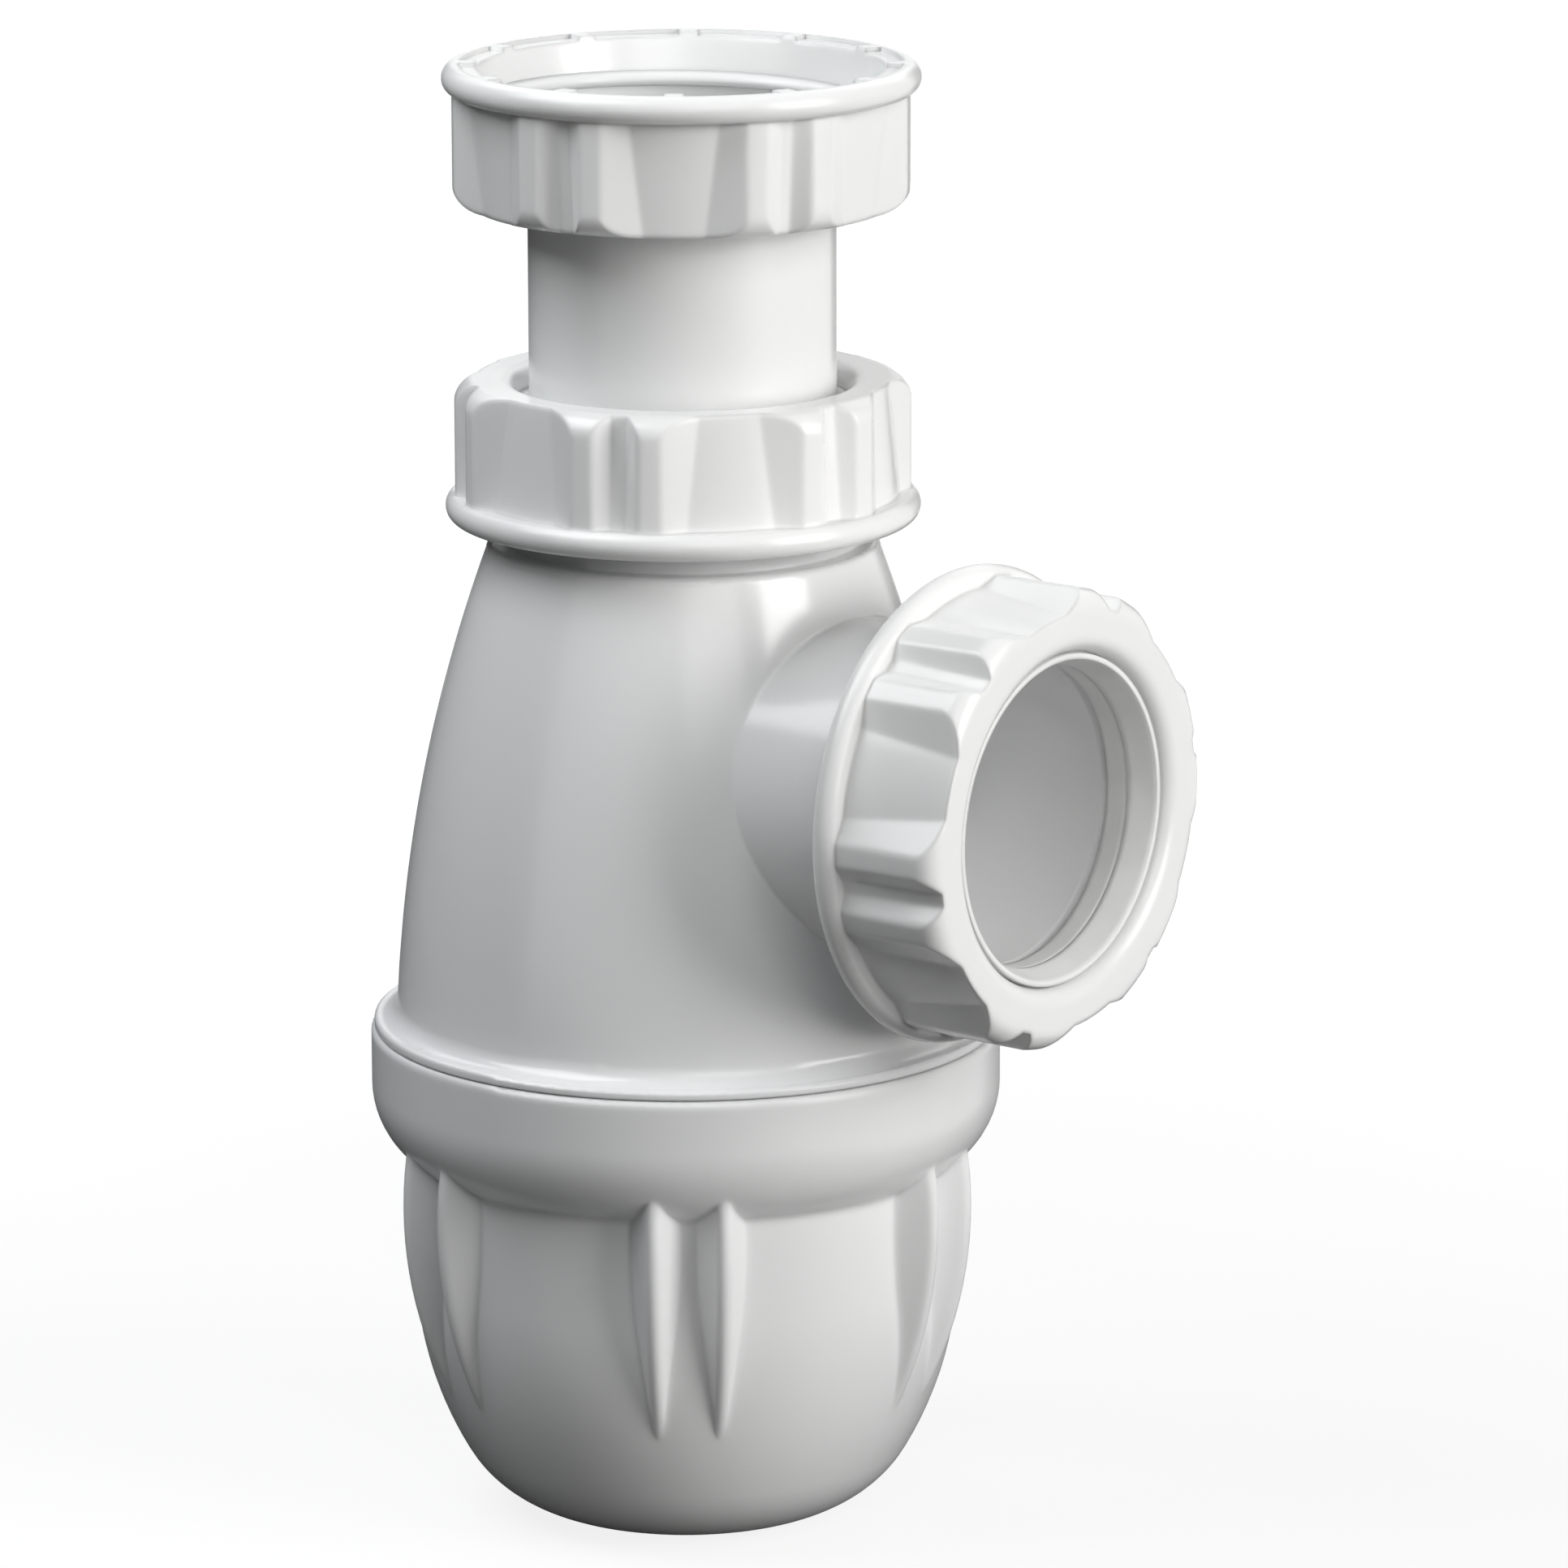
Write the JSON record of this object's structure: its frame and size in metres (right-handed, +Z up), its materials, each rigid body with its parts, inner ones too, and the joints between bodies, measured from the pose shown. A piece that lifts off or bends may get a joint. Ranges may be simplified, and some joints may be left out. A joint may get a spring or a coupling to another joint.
{
  "type": "basin trap",
  "caption": "Bottle trap for a basin: telescopic inlet with hand nuts, ogive body, side outlet with a compression nut, and a ribbed screw-on cup.",
  "frame": {"origin": "on the trap's axis at the flat face under the cup", "axes": "+Z up the trap's axis towards the inlet, +X out along the outlet's axis, +Y completes a right-handed frame"},
  "size_m": [0.0869, 0.0694, 0.1613],
  "materials": {
    "white_moulding": "gloss",
    "white_ring": "satin",
    "pale_seal": "matt"
  },
  "bodies": {
    "body": {"trap_body": "white_moulding", "dip_tube": "white_moulding", "collar_seal": "pale_seal", "outlet_seal": "white_ring"},
    "telescopic_tube": {"inlet_tube": "white_moulding"},
    "inlet_union": {"inlet_nut": "white_moulding", "inlet_washer": "pale_seal"},
    "collar_ring": {"collar_slip_ring": "white_ring"},
    "collar_union": {"collar_nut": "white_moulding"},
    "outlet_ring": {"outlet_slip_ring": "white_ring"},
    "outlet_union": {"outlet_nut": "white_moulding"},
    "cup_gasket": {"cup_seal": "pale_seal"},
    "screw_cup": {"cup": "white_moulding"}
  },
  "joints": [
    {"name": "inlet_height", "type": "slide", "parent": "body", "child": "telescopic_tube", "axis": [0, 0, 1], "range_m": [-0.018, 0.02]},
    {"name": "inlet_nut_turn", "type": "hinge", "parent": "telescopic_tube", "child": "inlet_union", "pos_m": [0, 0, 0.15], "axis": [0, 0, 1], "continuous": true},
    {"name": "collar_lift", "type": "slide", "parent": "body", "child": "collar_ring", "axis": [0, 0, 1], "range_m": [0, 0.00462]},
    {"name": "collar_nut_turn", "type": "hinge", "parent": "collar_ring", "child": "collar_union", "pos_m": [0, 0, 0.12], "axis": [0, 0, 1], "range_deg": [0, 720]},
    {"name": "outlet_ring_shift", "type": "slide", "parent": "body", "child": "outlet_ring", "axis": [1, 0, 0], "range_m": [0, 0.00462]},
    {"name": "outlet_nut_turn", "type": "hinge", "parent": "outlet_ring", "child": "outlet_union", "pos_m": [0.045, 0, 0.0849], "axis": [1, 0, 0], "range_deg": [0, 720]},
    {"name": "cup_drop", "type": "slide", "parent": "body", "child": "cup_gasket", "axis": [0, 0, -1], "range_m": [0, 0.0075]},
    {"name": "cup_turn", "type": "hinge", "parent": "cup_gasket", "child": "screw_cup", "pos_m": [0, 0, 0.04], "axis": [0, 0, -1], "range_deg": [0, 900]}
  ],
  "couplings": [
    {"joint": "collar_lift", "follows": "collar_nut_turn", "m_per_rad": 0.00036749},
    {"joint": "outlet_ring_shift", "follows": "outlet_nut_turn", "m_per_rad": 0.00036749},
    {"joint": "cup_drop", "follows": "cup_turn", "m_per_rad": 0.00047746}
  ]
}
